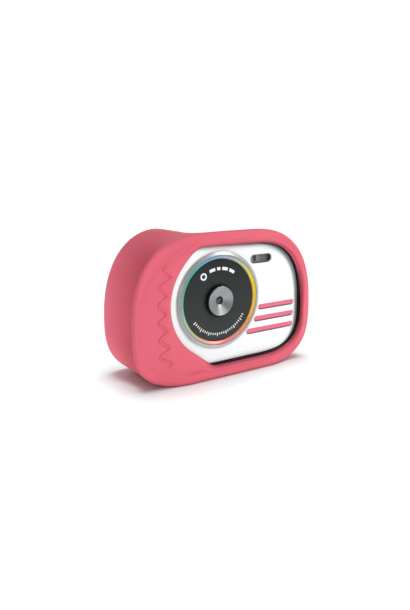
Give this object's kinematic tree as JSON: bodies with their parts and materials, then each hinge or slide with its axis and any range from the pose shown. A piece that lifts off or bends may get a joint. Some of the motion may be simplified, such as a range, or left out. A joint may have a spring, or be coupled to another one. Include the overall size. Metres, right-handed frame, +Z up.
{
  "type": "kids digital camera",
  "caption": "Child's compact digital camera with a round lens front, flash, rear screen and keys, in a thick soft bumper sleeve with a hinged rubber port flap.",
  "frame": {"origin": "under the middle of the camera, on the flat base of the sleeve that it stands on", "axes": "+X to the right of someone facing the lens, -Y the way the lens looks, +Z up"},
  "size_m": [0.106, 0.039, 0.0712],
  "materials": {
    "pink_silicone": "soft matte silicone",
    "pink_plastic": "smooth moulded plastic",
    "white_plastic": "glossy moulded plastic",
    "key_plastic": "smooth moulded plastic",
    "black_plastic": "fine-textured moulded plastic",
    "charcoal_plastic": "satin printed plastic",
    "silver_plastic": "satin metallised plastic",
    "rainbow_foil": "iridescent foil that changes colour round the ring",
    "spun_steel": "concentrically turned metal",
    "steel": "plated steel",
    "lens_glass": "coated lens glass",
    "flash_plastic": "clear smoked plastic",
    "phosphor": "yellow phosphor",
    "screen_glass": "black-printed glass",
    "lcd_panel": "dark display panel",
    "circuit_board": "green solder mask",
    "chip_package": "moulded chip package",
    "battery_foil": "laminated foil pouch",
    "amber_ribbon": "polyimide ribbon",
    "lamp_plastic": "milky light guide"
  },
  "bodies": {
    "camera": {"silicone_sleeve": "pink_silicone", "stripe_insert": "pink_plastic", "faceplate": "white_plastic", "front_case": "black_plastic", "rear_case": "black_plastic", "lens_barrel": "black_plastic", "lens_holder": "black_plastic", "speaker": "black_plastic", "lens_disc": "charcoal_plastic", "lens_bezel": "silver_plastic", "flash_reflector": "silver_plastic", "rainbow_ring": "rainbow_foil", "lens_cone": "spun_steel", "usb_port": "steel", "card_socket": "steel", "microphone": "steel", "shutter_switch": "steel", "power_switch": "steel", "switch_ok": "steel", "switch_up": "steel", "switch_left": "steel", "switch_down": "steel", "switch_right": "steel", "switch_menu": "steel", "switch_play": "steel", "case_screw_1": "steel", "case_screw_2": "steel", "case_screw_3": "steel", "case_screw_4": "steel", "board_screw_1": "steel", "board_screw_2": "steel", "lens_window": "lens_glass", "inner_lens": "lens_glass", "flash_window": "flash_plastic", "flash_led": "phosphor", "display_window": "screen_glass", "lcd_module": "lcd_panel", "main_board": "circuit_board", "button_board": "circuit_board", "sensor_board": "circuit_board", "processor": "chip_package", "image_sensor": "chip_package", "memory_card": "chip_package", "battery": "battery_foil", "lcd_ribbon": "amber_ribbon", "sensor_ribbon": "amber_ribbon", "status_lamp": "lamp_plastic"},
    "key_ok": {"key_ok": "key_plastic"},
    "key_up": {"key_up": "key_plastic"},
    "key_left": {"key_left": "key_plastic"},
    "key_down": {"key_down": "key_plastic"},
    "key_right": {"key_right": "key_plastic"},
    "key_menu": {"key_menu": "key_plastic"},
    "key_play": {"key_play": "key_plastic"},
    "shutter_button": {"shutter_button": "key_plastic"},
    "power_button": {"power_button": "key_plastic"},
    "port_flap": {"port_flap": "pink_silicone"}
  },
  "joints": [
    {"name": "shutter_press", "type": "slide", "parent": "camera", "child": "shutter_button", "axis": [0, 0, -1], "range_m": [0, 0.0008], "stiffness_N_per_m": 1250},
    {"name": "power_press", "type": "slide", "parent": "camera", "child": "power_button", "axis": [0, 0, -1], "range_m": [0, 0.0008], "stiffness_N_per_m": 1250},
    {"name": "key_ok_press", "type": "slide", "parent": "camera", "child": "key_ok", "axis": [0, -1, 0], "range_m": [0, 0.0005], "stiffness_N_per_m": 2000},
    {"name": "key_up_press", "type": "slide", "parent": "camera", "child": "key_up", "axis": [0, -1, 0], "range_m": [0, 0.0005], "stiffness_N_per_m": 2000},
    {"name": "key_left_press", "type": "slide", "parent": "camera", "child": "key_left", "axis": [0, -1, 0], "range_m": [0, 0.0005], "stiffness_N_per_m": 2000},
    {"name": "key_down_press", "type": "slide", "parent": "camera", "child": "key_down", "axis": [0, -1, 0], "range_m": [0, 0.0005], "stiffness_N_per_m": 2000},
    {"name": "key_right_press", "type": "slide", "parent": "camera", "child": "key_right", "axis": [0, -1, 0], "range_m": [0, 0.0005], "stiffness_N_per_m": 2000},
    {"name": "key_menu_press", "type": "slide", "parent": "camera", "child": "key_menu", "axis": [0, -1, 0], "range_m": [0, 0.0005], "stiffness_N_per_m": 2000},
    {"name": "key_play_press", "type": "slide", "parent": "camera", "child": "key_play", "axis": [0, -1, 0], "range_m": [0, 0.0005], "stiffness_N_per_m": 2000},
    {"name": "port_flap_hinge", "type": "hinge", "parent": "camera", "child": "port_flap", "pos_m": [0.046, -0.0003, 0.0169], "axis": [0, 1, 0], "range_deg": [0, 95]}
  ]
}
